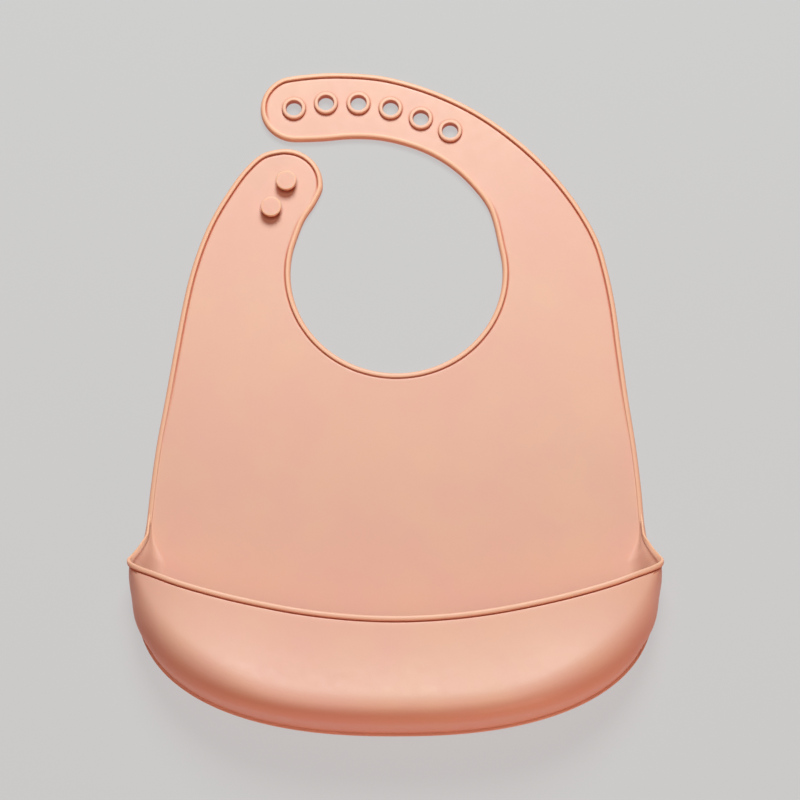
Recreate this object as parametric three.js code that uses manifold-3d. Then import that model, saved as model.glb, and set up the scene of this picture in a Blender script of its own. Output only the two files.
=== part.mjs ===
// Silicone baby bib with a crumb pocket and a neck strap that fastens with studs and eyelets.
// Millimetres. The bib lies on its back on z = 0 with its front face up (+Z) and its neck towards +Y.
// The origin is under the middle of the bib. The bib is one moulding: every node below is a part of it,
// and the hinge knuckles stand for the lines where the soft sheet bends.
import * as THREE from 'three';
import { mergeVertices } from 'three/addons/utils/BufferGeometryUtils.js';
import Module from 'manifold-3d';

const SHEET = 2;
const BEAD_WIDTH = 2.3;
const BEAD_TOP = 2.85;
const BEAD_ROUND = 0.7;

const BOTTOM = { y: -95, halfWidth: 113.4, halfHeight: 61, squareness: 2.35 };
const NECK = { x: 0.4, y: 56.8, radius: 48.5 };
const HOLE_STRAP_END = { x: -46.6, y: 138, radius: 16.5 };
const STUD_STRAP_END = { x: -51.4, y: 100, radius: 17.7 };

const EYELETS = [[-47.5, 137.6], [-32.6, 140.3], [-17.4, 140.3], [-2.4, 137.8], [11.7, 132.6], [25.3, 126.3]];
const EYELET_RADIUS = 5.35;
const EYELET_TOP = 3.6;
const EYELET_ROUND = 0.6;
const BORE_RADIUS = 3.5;
const BORE_FLARE = 0.4;

const STUDS = { upper_stud: [-50.5, 100.5], lower_stud: [-57.3, 87.5] };
const STEM_RADIUS = 3.1;
const HEAD_RADIUS = 4.75;
const HEAD_BOTTOM = 4.5;
const HEAD_TOP = 6.2;
const HEAD_ROUND = 0.4;

const WING_BASE_Y = -62;
const FLANGE = 1.2;
const POCKET_WALL = 2;
const SIDE_ROUNDING = 15;
const BOTTOM_ROUNDING = 9.5;
const FRONT_RISE = 5.6;
const POCKET_BULGE = 0.3;
const POCKET_RIBS = 32;
const RIB_DEGREES = [0, 22.5, 45, 67.5, 90];
const RIM_RADIUS = 1.5;
const FLAP_HALF_WIDTH = 62;

// Where along the pocket, as a share of its length from either end, the rounding and the rise change
// from the sides' to the bottom's; how far outside its foot, in millimetres, the rim has a straight
// and a plain rib under it; and the most of a rib's run and height that its shoulder takes up.
const ROUNDING_CHANGE = [0.2, 0.38];
const RISE_CHANGE = [0.16, 0.34];
const STRAIGHT_TO_ROUND = [-5, 0.5];
const PLAIN_TO_BULGED = [-8, -3];
const SHOULDER_RUN = 0.85;
const SHOULDER_HEIGHT = 0.9;

const GAP = 0.3;
const ROUND_STEPS = 16;
const ARC_STEP = 9;
const FAR = 200;

// Hinge lines: a point on the line, the way the moving side lies, the radius of the knuckle,
// and how far the moving side reaches along and across that way.
const HINGES = {
  panel: { at: [0, -34, 1.8], toward: [0, 1], radius: 2.6, reach: 200, span: 260 },
  holeShoulder: { at: [64, 87.7, 1.8], toward: [-0.254, 0.967], radius: 2.6, reach: 60, span: 80 },
  holeInner: { at: [33, 121.8, 1.8], toward: [-0.88, 0.475], radius: 1.85, reach: 34, span: 46 },
  holeMiddle: { at: [4.65, 135.2, 1.8], toward: [-0.938, 0.346], radius: 1.85, reach: 34, span: 46 },
  holeTip: { at: [-25, 140.3, 1.8], toward: [-1, 0], radius: 1.85, reach: 44, span: 40 },
  studShoulder: { at: [-71, 58, 1.8], toward: [0.31, 0.951], radius: 2.6, reach: 60, span: 60 },
  studTip: { at: [-62, 79.7, 1.8], toward: [0.447, 0.894], radius: 1.85, reach: 50, span: 56 },
  flap: { at: [0, -135, 29.5], toward: [0, 1], radius: 2.2, reach: 40, span: 2 * FLAP_HALF_WIDTH + 10 },
};

const wasm = await Module();
wasm.setup();

// ---------------------------------------------------------------- solids and meshes

function solidOf(geometry) {
  const bare = geometry.clone();
  bare.deleteAttribute('normal');
  bare.deleteAttribute('uv');
  const merged = mergeVertices(bare, 1e-4);
  const vertProperties = new Float32Array(merged.attributes.position.array);
  const triVerts = new Uint32Array(merged.index.array);
  return new wasm.Manifold(new wasm.Mesh({ numProp: 3, vertProperties, triVerts }));
}

function geometryOf(solid) {
  const mesh = solid.getMesh();
  const geometry = new THREE.BufferGeometry();
  geometry.setAttribute('position', new THREE.BufferAttribute(mesh.vertProperties, 3));
  geometry.setIndex(new THREE.BufferAttribute(mesh.triVerts, 1));
  geometry.computeVertexNormals();
  return geometry;
}

function box(x0, x1, y0, y1, z0, z1) {
  const geometry = new THREE.BoxGeometry(x1 - x0, y1 - y0, z1 - z0);
  geometry.translate((x0 + x1) / 2, (y0 + y1) / 2, (z0 + z1) / 2);
  return solidOf(geometry);
}

function prism(points, height, holes = []) {
  const shape = new THREE.Shape(points);
  shape.holes = holes;
  return solidOf(new THREE.ExtrudeGeometry(shape, {
    depth: height,
    bevelEnabled: false,
    curveSegments: ROUND_STEPS / 2,
  }));
}

// A skin over a row of sections with the same number of points. An open row is closed by end caps
// that join the points of each end section in pairs.
function skinOver(sections, closed) {
  const count = sections[0].length;
  const rows = sections.length;
  const index = [];
  for (let row = 0; row < (closed ? rows : rows - 1); row += 1) {
    for (let k = 0; k < count; k += 1) {
      const a = row * count + k;
      const b = row * count + ((k + 1) % count);
      const c = ((row + 1) % rows) * count + ((k + 1) % count);
      const d = ((row + 1) % rows) * count + k;
      index.push(a, d, c, a, c, b);
    }
  }
  for (const row of closed ? [] : [0, rows - 1]) {
    for (let k = 0; k < count / 2 - 1; k += 1) {
      const a = row * count + k;
      const b = a + 1;
      const c = row * count + count - 2 - k;
      const d = c + 1;
      index.push(...(row === 0 ? [a, b, c, a, c, d] : [a, c, b, a, d, c]));
    }
  }
  const geometry = new THREE.BufferGeometry();
  const positions = sections.flat().flatMap((point) => point.toArray());
  geometry.setAttribute('position', new THREE.Float32BufferAttribute(positions, 3));
  geometry.setIndex(index);
  return solidOf(geometry);
}

function turned(profile, [x, y]) {
  const points = profile.map(([radius, height]) => new THREE.Vector2(radius, height));
  const geometry = new THREE.LatheGeometry(points, ROUND_STEPS);
  geometry.rotateX(Math.PI / 2);
  geometry.translate(x, y, 0);
  return solidOf(geometry);
}

// ---------------------------------------------------------------- outline

const flat = ([x, y]) => new THREE.Vector3(x, y, 0);
const mirrored = (points) => points.map(([x, y]) => [-x, y]).reverse();

function arc({ x, y, radius }, fromDegrees, toDegrees) {
  const steps = Math.round(Math.abs(toDegrees - fromDegrees) / ARC_STEP);
  return Array.from({ length: steps + 1 }, (_, k) => {
    const angle = THREE.MathUtils.degToRad(fromDegrees + ((toDegrees - fromDegrees) * k) / steps);
    return [x + radius * Math.cos(angle), y + radius * Math.sin(angle)];
  });
}

// The rounded bottom edge from left to right, a squared ellipse.
function bottomEdge(steps) {
  return Array.from({ length: steps + 1 }, (_, k) => {
    const angle = Math.PI * (1 + k / steps);
    const squared = (value) => Math.sign(value) * Math.abs(value) ** (2 / BOTTOM.squareness);
    return [
      BOTTOM.halfWidth * squared(Math.cos(angle)),
      BOTTOM.y + BOTTOM.halfHeight * squared(Math.sin(angle)),
    ];
  });
}

const pocketSide = [[113.2, -84], [112, -73], [110.4, WING_BASE_Y]];
const panelSide = [[109.4, -46], [107.6, -26], [104.8, -4], [102.4, 18], [100.1, 40]];
const panelLeftSide = [[-97.1, 40], [-100.5, 18], [-103.7, -4], [-107, -26], [-109.1, -46]];
const holeStrapOuter = [
  [97.4, 56], [93.6, 71], [87, 85], [77.5, 99.6], [66, 113.3], [54, 124.6], [41, 134.6],
  [28, 142.3], [12, 149.3], [-6, 154.4], [-24, 156], [-38, 155.6],
];
const holeStrapInner = [
  [-34, 121.9], [-22, 123], [-9, 122.6], [3, 120], [15, 115.3], [26, 108.1], [35.5, 98.6], [43, 87.3],
];
const studStrapInner = [[-42, 82], [-37, 90.3]];
const studStrapOuter = [[-62, 115.2], [-70, 107.6], [-77.3, 96.8], [-85, 82.6], [-90.4, 68.5], [-94.4, 54]];

const outline = new THREE.CatmullRomCurve3([
  ...bottomEdge(18),
  ...pocketSide,
  ...panelSide,
  ...holeStrapOuter,
  ...arc(HOLE_STRAP_END, 110, 270),
  ...holeStrapInner,
  ...arc(NECK, 14, -200),
  ...studStrapInner,
  ...arc(STUD_STRAP_END, -8, 96),
  ...studStrapOuter,
  ...panelLeftSide,
  ...mirrored(pocketSide),
].map(flat), true, 'centripetal');

const edge = outline.getPoints(Math.round(outline.points.length * 1.4)).slice(0, -1);

// The outline moved inward, one point for each edge point.
function inset(distance) {
  return edge.map((point, k) => {
    const before = edge[(k + edge.length - 1) % edge.length];
    const after = edge[(k + 1) % edge.length];
    const along = after.clone().sub(before).normalize();
    return new THREE.Vector3(point.x - along.y * distance, point.y + along.x * distance, 0);
  });
}

// ---------------------------------------------------------------- sheet with its edge bead

function makeSheet() {
  const bores = EYELETS.map(([x, y]) => new THREE.Path().absarc(x, y, BORE_RADIUS, 0, 2 * Math.PI));
  const plate = prism(inset(BEAD_WIDTH / 2), SHEET, bores);
  const profile = [
    [0, 0], [0, BEAD_TOP - BEAD_ROUND], [BEAD_ROUND, BEAD_TOP],
    [BEAD_WIDTH - BEAD_ROUND, BEAD_TOP], [BEAD_WIDTH, BEAD_TOP - BEAD_ROUND], [BEAD_WIDTH, 0],
  ];
  const rails = profile.map(([distance, z]) => inset(distance).map((point) => point.setZ(z)));
  const bead = skinOver(edge.map((_, k) => rails.map((rail) => rail[k])), true);
  const beadOverPocket = box(-FAR, FAR, -FAR, WING_BASE_Y + BEAD_WIDTH / 2, SHEET, FAR);
  return plate.add(bead.subtract(beadOverPocket));
}

// A box over the moving side of a hinge line, and a cylinder round the line.
function hingeTools({ at, toward, radius, reach, span }, grow) {
  const turn = Math.atan2(toward[1], toward[0]) - Math.PI / 2;
  const side = new THREE.BoxGeometry(span, reach, FAR).translate(0, reach / 2, 0);
  const round = new THREE.CylinderGeometry(radius + grow, radius + grow, span, ROUND_STEPS);
  round.rotateZ(Math.PI / 2);
  const [beyond, knuckle] = [side, round].map((tool) => {
    tool.rotateZ(turn).translate(...at);
    return solidOf(tool);
  });
  return beyond.add(knuckle);
}

function split(solid, hinge) {
  return {
    moving: solid.intersect(hingeTools(hinge, 0)),
    fixed: solid.subtract(hingeTools(hinge, GAP)),
  };
}

// ---------------------------------------------------------------- pocket

// The middle of the rim, from the left wing base over the lip to the right wing base.
const rimHalf = [
  [109.3, WING_BASE_Y, 2.6], [109.3, -67.6, 5.5], [110.5, -71.4, 8.2], [112.2, -75.2, 11.2],
  [114.4, -78.8, 14.2], [115.4, -81.2, 16.6], [114.3, -83.6, 19.2], [111, -86, 21.6],
  [104.8, -89.2, 23.8], [93.4, -93.8, 25.4], [68, -100.9, 26], [34, -107.3, 26.1],
];
const rim = new THREE.CatmullRomCurve3([
  ...rimHalf.map(([x, y, z]) => [-x, y, z]),
  [0, -109.6, 26.1],
  ...rimHalf.toReversed(),
].map((point) => new THREE.Vector3(...point)), false, 'centripetal');

const footprint = new THREE.CatmullRomCurve3([
  ...mirrored(pocketSide),
  ...bottomEdge(18),
  ...pocketSide,
].map(flat), false, 'centripetal');

// One line up the outside of the pocket: upright, round over a shoulder, then gently down to the rim.
// Where the rim lies outside its foot, as at the wings, the line is straight.
function pocketRib(share) {
  const { degToRad, lerp, smoothstep } = THREE.MathUtils;
  const along = footprint.getTangentAt(share);
  const outward = new THREE.Vector3(along.y, -along.x, 0);
  const foot = footprint.getPointAt(share).addScaledVector(outward, -FLANGE).setZ(SHEET);
  const top = rim.getPointAt(share);
  const across = top.clone().sub(foot).setZ(0);
  const lean = -across.dot(outward);
  const fromEnd = Math.min(share, 1 - share);
  const height = top.z - foot.z + FRONT_RISE * smoothstep(fromEnd, ...RISE_CHANGE);
  const rounding = lerp(SIDE_ROUNDING, BOTTOM_ROUNDING, smoothstep(fromEnd, ...ROUNDING_CHANGE));
  const shoulder = Math.min(rounding, SHOULDER_HEIGHT * height);
  const run = Math.min(SHOULDER_RUN, rounding / across.length());
  const slack = Math.max(0, 1 - across.length() / (2 * SIDE_ROUNDING));
  const bulge = POCKET_BULGE * height * slack * smoothstep(lean, ...PLAIN_TO_BULGED);
  const rise = (degrees) => {
    const angle = degToRad(degrees);
    const level = 1 - (shoulder * (1 - Math.sin(angle))) / height;
    const straight = foot.clone().lerp(top, SHOULDER_RUN * level);
    const round = foot.clone().lerp(top, run * (1 - Math.cos(angle)));
    const point = straight.lerp(round, smoothstep(lean, ...STRAIGHT_TO_ROUND));
    point.addScaledVector(outward, bulge * Math.sin(Math.PI * level));
    return point.setZ(foot.z + height * level);
  };
  return [foot, ...RIB_DEGREES.map(rise), top];
}

// The pocket wall: ribs side by side, given their thickness inward.
function makePocketShell() {
  const shares = Array.from({ length: POCKET_RIBS }, (_, k) => 0.02 + (0.96 * k) / (POCKET_RIBS - 1));
  const step = 0.004;
  const sections = shares.map((share) => {
    const rib = pocketRib(share);
    const before = pocketRib(share - step);
    const after = pocketRib(share + step);
    const inner = rib.map((point, k) => {
      const along = after[k].clone().sub(before[k]);
      const up = rib[Math.min(k + 1, rib.length - 1)].clone().sub(rib[Math.max(k - 1, 0)]);
      const inward = along.cross(up);
      if (k === 0) {
        inward.setZ(0);
      }
      return point.clone().addScaledVector(inward.normalize(), -POCKET_WALL);
    });
    return [...rib, ...inner.reverse()];
  });
  return skinOver(sections, false);
}

function makeRim(radius) {
  const circle = new THREE.Shape().absarc(0, 0, radius, 0, 2 * Math.PI);
  const tube = new THREE.ExtrudeGeometry(circle, { extrudePath: rim, steps: 60, curveSegments: 4 });
  return solidOf(tube).subtract(box(-FAR, FAR, -FAR, FAR, -FAR, SHEET));
}

// Left, middle and right thirds of a pocket piece, apart by the gap.
function inThree(solid) {
  const border = FLAP_HALF_WIDTH;
  return {
    left: solid.intersect(box(-FAR, -border - GAP / 2, -FAR, FAR, -FAR, FAR)),
    middle: solid.intersect(box(-border + GAP / 2, border - GAP / 2, -FAR, FAR, -FAR, FAR)),
    right: solid.intersect(box(border + GAP / 2, FAR, -FAR, FAR, -FAR, FAR)),
  };
}

// ---------------------------------------------------------------- eyelets and studs

function makeEyelet(place) {
  return turned([
    [BORE_RADIUS, SHEET], [EYELET_RADIUS, SHEET], [EYELET_RADIUS, EYELET_TOP - EYELET_ROUND],
    [EYELET_RADIUS - EYELET_ROUND, EYELET_TOP], [BORE_RADIUS + BORE_FLARE, EYELET_TOP],
    [BORE_RADIUS, EYELET_TOP - BORE_FLARE], [BORE_RADIUS, SHEET],
  ], place);
}

function makeStud(place) {
  return turned([
    [0, SHEET], [STEM_RADIUS, SHEET], [STEM_RADIUS, HEAD_BOTTOM], [HEAD_RADIUS - HEAD_ROUND, HEAD_BOTTOM],
    [HEAD_RADIUS, HEAD_BOTTOM + HEAD_ROUND], [HEAD_RADIUS, HEAD_TOP - HEAD_ROUND],
    [HEAD_RADIUS - HEAD_ROUND, HEAD_TOP], [0, HEAD_TOP],
  ], place);
}

// ---------------------------------------------------------------- assembly

const bib = new THREE.Group();

function add(name, solid, colour) {
  const material = new THREE.MeshStandardMaterial({ color: colour, roughness: 0.55, metalness: 0 });
  const mesh = new THREE.Mesh(geometryOf(solid), material);
  mesh.name = name;
  bib.add(mesh);
}

const PEACH = 0xebb79d;
const PALE_PEACH = 0xf6c6ab;

// The strap pieces come off from their tips inward, so that each cut meets only its own strap.
const cuts = {
  hole_strap_tip: HINGES.holeTip,
  hole_strap_middle: HINGES.holeMiddle,
  hole_strap_inner: HINGES.holeInner,
  hole_strap_shoulder: HINGES.holeShoulder,
  stud_strap_tip: HINGES.studTip,
  stud_strap_shoulder: HINGES.studShoulder,
  upper_panel: HINGES.panel,
};
let sheet = makeSheet();
for (const [name, hinge] of Object.entries(cuts)) {
  const { moving, fixed } = split(sheet, hinge);
  add(name, moving, PEACH);
  sheet = fixed;
}
add('lower_panel', sheet, PEACH);

EYELETS.forEach((place, k) => add(`eyelet_${k + 1}`, makeEyelet(place), PALE_PEACH));
Object.entries(STUDS).forEach(([name, place]) => add(name, makeStud(place), PALE_PEACH));

const shell = inThree(makePocketShell().subtract(makeRim(RIM_RADIUS + GAP)));
const front = split(shell.middle, HINGES.flap);
add('pocket_floor', front.fixed, PEACH);
add('pocket_front', front.moving, PEACH);
add('pocket_left_wall', shell.left, PEACH);
add('pocket_right_wall', shell.right, PEACH);

const rims = inThree(makeRim(RIM_RADIUS));
add('left_wing_rim', rims.left, PALE_PEACH);
add('pocket_lip', rims.middle, PALE_PEACH);
add('right_wing_rim', rims.right, PALE_PEACH);

export default bib;
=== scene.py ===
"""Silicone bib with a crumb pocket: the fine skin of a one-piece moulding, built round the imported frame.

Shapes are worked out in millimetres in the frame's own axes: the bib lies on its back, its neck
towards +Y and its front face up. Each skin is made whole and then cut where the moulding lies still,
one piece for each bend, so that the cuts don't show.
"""

import math

import bmesh
import bpy
import numpy as np
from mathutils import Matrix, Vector
from mathutils.geometry import delaunay_2d_cdt

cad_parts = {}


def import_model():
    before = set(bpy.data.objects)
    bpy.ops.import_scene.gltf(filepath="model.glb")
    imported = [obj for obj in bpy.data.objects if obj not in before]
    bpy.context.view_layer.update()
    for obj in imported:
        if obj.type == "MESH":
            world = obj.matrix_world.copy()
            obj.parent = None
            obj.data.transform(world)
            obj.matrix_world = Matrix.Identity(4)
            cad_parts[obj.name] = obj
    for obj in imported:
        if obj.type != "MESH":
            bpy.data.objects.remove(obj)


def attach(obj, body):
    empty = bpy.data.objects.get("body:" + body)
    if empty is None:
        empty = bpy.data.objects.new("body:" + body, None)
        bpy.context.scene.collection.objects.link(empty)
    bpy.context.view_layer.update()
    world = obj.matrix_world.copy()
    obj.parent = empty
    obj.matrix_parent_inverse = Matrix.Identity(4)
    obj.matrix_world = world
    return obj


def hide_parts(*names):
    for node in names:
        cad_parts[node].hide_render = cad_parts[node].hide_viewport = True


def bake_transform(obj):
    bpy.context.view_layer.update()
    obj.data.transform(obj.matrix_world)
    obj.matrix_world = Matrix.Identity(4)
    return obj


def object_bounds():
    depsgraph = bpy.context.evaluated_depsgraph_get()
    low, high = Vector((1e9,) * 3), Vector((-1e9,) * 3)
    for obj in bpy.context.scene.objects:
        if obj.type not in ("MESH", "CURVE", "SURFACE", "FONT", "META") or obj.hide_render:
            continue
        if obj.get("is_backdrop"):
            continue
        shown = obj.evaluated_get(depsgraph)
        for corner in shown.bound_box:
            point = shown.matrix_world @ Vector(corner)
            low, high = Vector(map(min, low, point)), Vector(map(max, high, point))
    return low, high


MM = 0.001

# ---------------------------------------------------------------- driving dimensions, millimetres

# The sheet, its rounded edge, and the bead that stands along its front.
SHEET = 2.0
EDGE_ROUND = 0.5
# From the back round the edge: inset, height as a flange, height as a bead, share of crease and its
# painted shade.
BACK_EDGE = [
    (1.4, 0, 0, 0), (EDGE_ROUND, 0, 0, 0), (0.15, 0.13, 0.13, 0), (0, EDGE_ROUND, EDGE_ROUND, 0),
]
BEAD_WIDTH = 2.3
BEAD_TOP = 2.85
BEAD_ROUND = 1.3
BEAD_SHOULDER = 1.6
# The steep inside of the bead: distance from its foot, and drop below its top.
BEAD_INSIDE = [(0.55, 0), (0.3, 0.02), (0.15, 0.1), (0.06, 0.28), (0.01, 0.55)]
# The crease at its foot: distance beyond the foot, and share of the depth and of painted shade.
BEAD_CREASE = [(0.05, 0.75), (0.15, 1), (0.35, 1), (0.5, 0.7), (0.7, 0.25), (1, 0), (1.6, 0)]
CREASE_DEPTH = 0.38
# Where, along Y, the bead rises, grows to its full height, and gets its crease and its painted shade.
BEAD_RISE_Y = (-70, -58)
BEAD_GROWTH_Y = (-30, 70)
CREASE_Y = (-40, 20)
LOW_BEAD = 0.62
# The crease and its painted shade fade as the edge turns from facing sideways to facing down the bib.
CREASE_TURN = (0.6, 0)

# The outline's corners, (x, y), anticlockwise from the rounded bottom.
BOTTOM = {"y": -95, "half_width": 113.4, "half_height": 61, "squareness": 2.35}
NECK = {"x": 0.4, "y": 56.8, "radius": 48.5}
HOLE_STRAP_END = {"x": -46.6, "y": 138, "radius": 16.5}
STUD_STRAP_END = {"x": -51.4, "y": 100, "radius": 17.7}
POCKET_SIDE = [(113.2, -84), (112, -73), (110.4, -62)]
PANEL_SIDE = [(109.4, -46), (107.6, -26), (104.8, -4), (102.4, 18), (100.1, 40)]
PANEL_LEFT_SIDE = [(-97.1, 40), (-100.5, 18), (-103.7, -4), (-107.0, -26), (-109.1, -46)]
HOLE_STRAP_OUTER = [
    (97.4, 56), (93.6, 71), (87, 85), (77.5, 99.6), (66, 113.3), (54, 124.6), (41, 134.6),
    (28, 142.3), (12, 149.3), (-6, 154.4), (-24, 156), (-38, 155.6),
]
HOLE_STRAP_INNER = [
    (-34, 121.9), (-22, 123), (-9, 122.6), (3, 120), (15, 115.3), (26, 108.1), (35.5, 98.6), (43, 87.3),
]
STUD_STRAP_INNER = [(-42, 82), (-37, 90.3)]
STUD_STRAP_OUTER = [
    (-62, 115.2), (-70, 107.6), (-77.3, 96.8), (-85, 82.6), (-90.4, 68.5), (-94.4, 54),
]

# The sheet's slow waves: one hump in X and Y, then slanting ripples, each with its share of the
# height, its length over a turn and its phase.
HUMP = {"share": 0.34, "x": (31, 0.7), "y": (38, 0.4)}
RIPPLES = [
    {"share": 0.22, "slant": 1.4, "length": 44, "phase": 2.1},
    {"share": 0.16, "slant": -0.8, "length": 23, "phase": 4.0},
]
WAVE_HEIGHT = 0.5
WAVE_MIDDLE = 0.72
WAVE_FADE_X = (118, 90)
WAVE_FADE_Y = (-150, -110)
TABLE_GAP = 0.02

# The rings round the strap's holes, and the skirt and foot that lead the skin into them.
EYELETS = [
    (-47.5, 137.6), (-32.6, 140.3), (-17.4, 140.3), (-2.4, 137.8), (11.7, 132.6), (25.3, 126.3),
]
EYELET_RADIUS = 5.45
EYELET_TOP = 3.6
EYELET_ROUND = (0.6, 0.25)
BORE_RADIUS = 3.5
BORE_FLARE = 0.3
# Radius beyond the ring, height over the sheet, share of painted bead glow, share of painted crease shade.
EYELET_SKIRT = [
    (1.2, 0, 0, 0), (0.5, -0.02, 0, 0.1), (0.2, -0.12, 0, 0.9), (0.04, -0.08, 0, 1),
    (0, 0.15, 0.3, 0.8),
]
# Painted glow on the ring's side, top and mouth.
RING_PAINTED_GLOW = {"side": 0.8, "top": 0.6, "mouth": 0.5}
# Inside the mouth and at the sheet's front: how far inside, share of painted bead glow, share of painted
# shade.
THROAT = [(0.1, 0.3, 0.55), (BORE_FLARE, 0, 0.75)]
# Radius beyond the bore, height over the back, share of painted bead glow, share of painted crease shade.
BORE_FOOT = [(0, 0.9, 0, 0.8), (0.1, 0.3, 0, 0.6), (0.4, 0.04, 0, 0), (1.2, 0, 0, 0)]

# The button studs: a flaring stem and an eased round head.
STUDS = {"upper": (-50.5, 100.5), "lower": (-57.3, 87.5)}
STEM_RADIUS = 3.1
HEAD_RADIUS = 4.75
HEAD_BOTTOM = 4.5
HEAD_TOP = 6.2
HEAD_ROUND = 0.4
STUD_ROOT = 0.8
# Radius beyond the head, height over the sheet, share of painted bead glow, share of painted shade
# standing for the head's shadow.
STUD_SKIRT = [(1, -STUD_ROOT, 0, 0), (1, -0.03, 0, 0), (0.6, 0.02, 0, 0.12), (-0.1, 0.03, 0, 0.7)]
# Radius beyond the stem, height over the sheet, share of painted bead glow, share of painted shade under
# the head.
STEM_FLARE = [(0.8, 0.06, 0, 1), (0.3, 0.25, 0, 1), (0.12, 0.5, 0, 1), (0, 1, 0, 1)]
# Under the head, the same over the head's underside.
STEM_TOP = [(0, -0.2, 0, 1), (0.15, 0, 0, 1)]
# Painted shade on the head's underside.
UNDERSIDE_PAINTED_SHADE = 0.8
# Radius inside the head's edge, and share of painted glow, across the flat top.
HEAD_FLAT = [(0.9, 0.3), (2.2, 0), (3.95, 0)]

# Half of the pocket's rim, (x, y, z), from a wing's start to beside the middle.
RIM_HALF = [
    (108.3, -50, 1.3), (108.8, -56, 1.8), (109.3, -62, 3.0), (109.5, -67.6, 5.7), (111, -71.4, 8.2),
    (112.7, -75.2, 11.2), (114.7, -78.8, 14.2), (116, -81.4, 16.6), (115.3, -83.8, 19.2),
    (111.8, -86.2, 21.6), (105, -89.2, 23.8), (93.4, -93.8, 25.4), (68, -100.9, 26.0),
    (34, -107.3, 26.1),
]
RIM_MIDDLE = (0, -109.6, 26.1)
WING_START = (109.6, -50)
FLANGE = 1.2
LEAST_WALL = 0.9
LEAST_INSIDE = 0.3
# The front's highest line over its rim, and how far the front sags between them.
FRONT_RISE = 5.6
FRONT_SAG = 0.65
POCKET_BULGE = 0.3
SIDE_ROUNDING = 14.3
BOTTOM_ROUNDING = 8.6
SHOULDER_RUN = 0.85
# Where the shapes change, in shares of the rim's length from either end.
ROUNDING_CHANGE = (0.2, 0.38)
RISE_CHANGE = (0.16, 0.34)
# Where they change with how far the rim lies inside its foot.
STRAIGHT_TO_ROUND = (-5, 0.5)
PLAIN_TO_BULGED = (-8, -3)
# Wall and rim bead (radius across, radius up) of the pocket's lip and of its wings, and the
# heights of the rim between which one becomes the other.
POCKET_WALL = 2.0
WING_WALL = 1.1
LIP_BEAD = (1.15, 0.9)
WING_BEAD = (0.5, 0.5)
WING_TO_LIP = (14, 20)
BEAD_SPAN = 1.9
BEAD_SQUARENESS = 0.75
# How much painted shade the lip's outermost line has, and how much less of the bead's painted glow the lip
# has.
LIP_EDGE_PAINTED_SHADE = 0.7
LIP_PAINTED_GLOW_LOSS = 0.45
# The crease under the lip, in bead radii: across, up, and share of painted shade.
LIP_CREASE = [(1.7, -0.03, 0), (1.5, -0.12, 0.2), (1.3, -0.36, 0.8), (1.16, -0.5, 1), (1.03, -0.42, 1)]
# The concave foot inside the wall, (height up the wall, reach over the sheet), upright in the
# pocket and sloping in the wings, and the heights of the rim where the slope ends.
INNER_FILLET = (7.0, 7.0)
WING_FILLET = (16.0, 9.0)
SLOPE_END = (15.5, 21.5)
FILLET_TOP = (0.95, 0.8)
FILLET_SPREAD = 1.3
FILLET_END = -0.02
# Past the fillet the skin sinks into the sheet: distance beyond it, and height over the foot.
BURIED = 0.8
SINKING = [(0.5, -0.05), (1.2, -BURIED)]

# How finely the skins are meshed.
EDGE_SPACING = 1.15
GRID_SPACING = 3.2
ROW_SHARE = 0.866
EDGE_CLEARANCE = 0.6
RIB_COUNT = 460
WALL_STEPS = 44
SHOULDER_STEPS = 31
FRONT_STEPS = 14
UPRIGHT_STEPS = 12
INNER_STEPS = 30
FILLET_STEPS = 13
ROUND_SEGMENTS = 56
ROUND_STEP = 15
LIP_STEP = 18
SEAM_REACH = 9


# ---------------------------------------------------------------- curves

def smooth(low, high, value):
    share = np.clip((np.asarray(value, float) - low) / (high - low), 0, 1)
    return share * share * (3 - 2 * share)


def unit(vectors):
    return vectors / np.linalg.norm(vectors, axis=-1, keepdims=True)


def catmull_rom(points, closed, steps=40):
    """A dense centripetal Catmull-Rom curve through the points."""
    p = np.array(points, float)
    if closed:
        p = np.vstack([p[-1], p, p[0], p[1]])
    else:
        p = np.vstack([2 * p[0] - p[1], p, 2 * p[-1] - p[-2]])
    t = np.linspace(0, 1, steps, endpoint=False)[:, None]
    rows = []
    for a, b, c, d in zip(p, p[1:], p[2:], p[3:]):
        k1, k2, k3 = (np.linalg.norm(q - r) ** 0.5 for q, r in ((b, a), (c, b), (d, c)))
        leave = ((b - a) / k1 - (c - a) / (k1 + k2) + (c - b) / k2) * k2
        arrive = ((c - b) / k2 - (d - b) / (k2 + k3) + (d - c) / k3) * k2
        rows.append(
            (2 * t**3 - 3 * t**2 + 1) * b + (t**3 - 2 * t**2 + t) * leave
            + (3 * t**2 - 2 * t**3) * c + (t**3 - t**2) * arrive
        )
    return np.vstack(rows) if closed else np.vstack([*rows, p[-2]])


def at_shares(points, shares):
    """The points at these shares of a line's length."""
    run = np.concatenate([[0], np.cumsum(np.linalg.norm(np.diff(points, axis=0), axis=1))])
    lengths = np.asarray(shares) * run[-1]
    return np.stack([np.interp(lengths, run, column) for column in points.T], axis=1)


def arc(circle, from_degrees, to_degrees, step=9):
    count = round(abs(to_degrees - from_degrees) / step)
    angles = np.radians(np.linspace(from_degrees, to_degrees, count + 1))
    return [
        (circle["x"] + circle["radius"] * math.cos(a), circle["y"] + circle["radius"] * math.sin(a))
        for a in angles
    ]


def bottom_edge(steps=18):
    """The rounded bottom edge from left to right, a squared ellipse."""
    def squared(value):
        return math.copysign(abs(value) ** (2 / BOTTOM["squareness"]), value)

    width, height = BOTTOM["half_width"], BOTTOM["half_height"]
    angles = [math.pi * (1 + k / steps) for k in range(steps + 1)]
    return [(width * squared(math.cos(a)), BOTTOM["y"] + height * squared(math.sin(a))) for a in angles]


def mirrored(points):
    return [(-p[0], *p[1:]) for p in reversed(points)]


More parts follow.
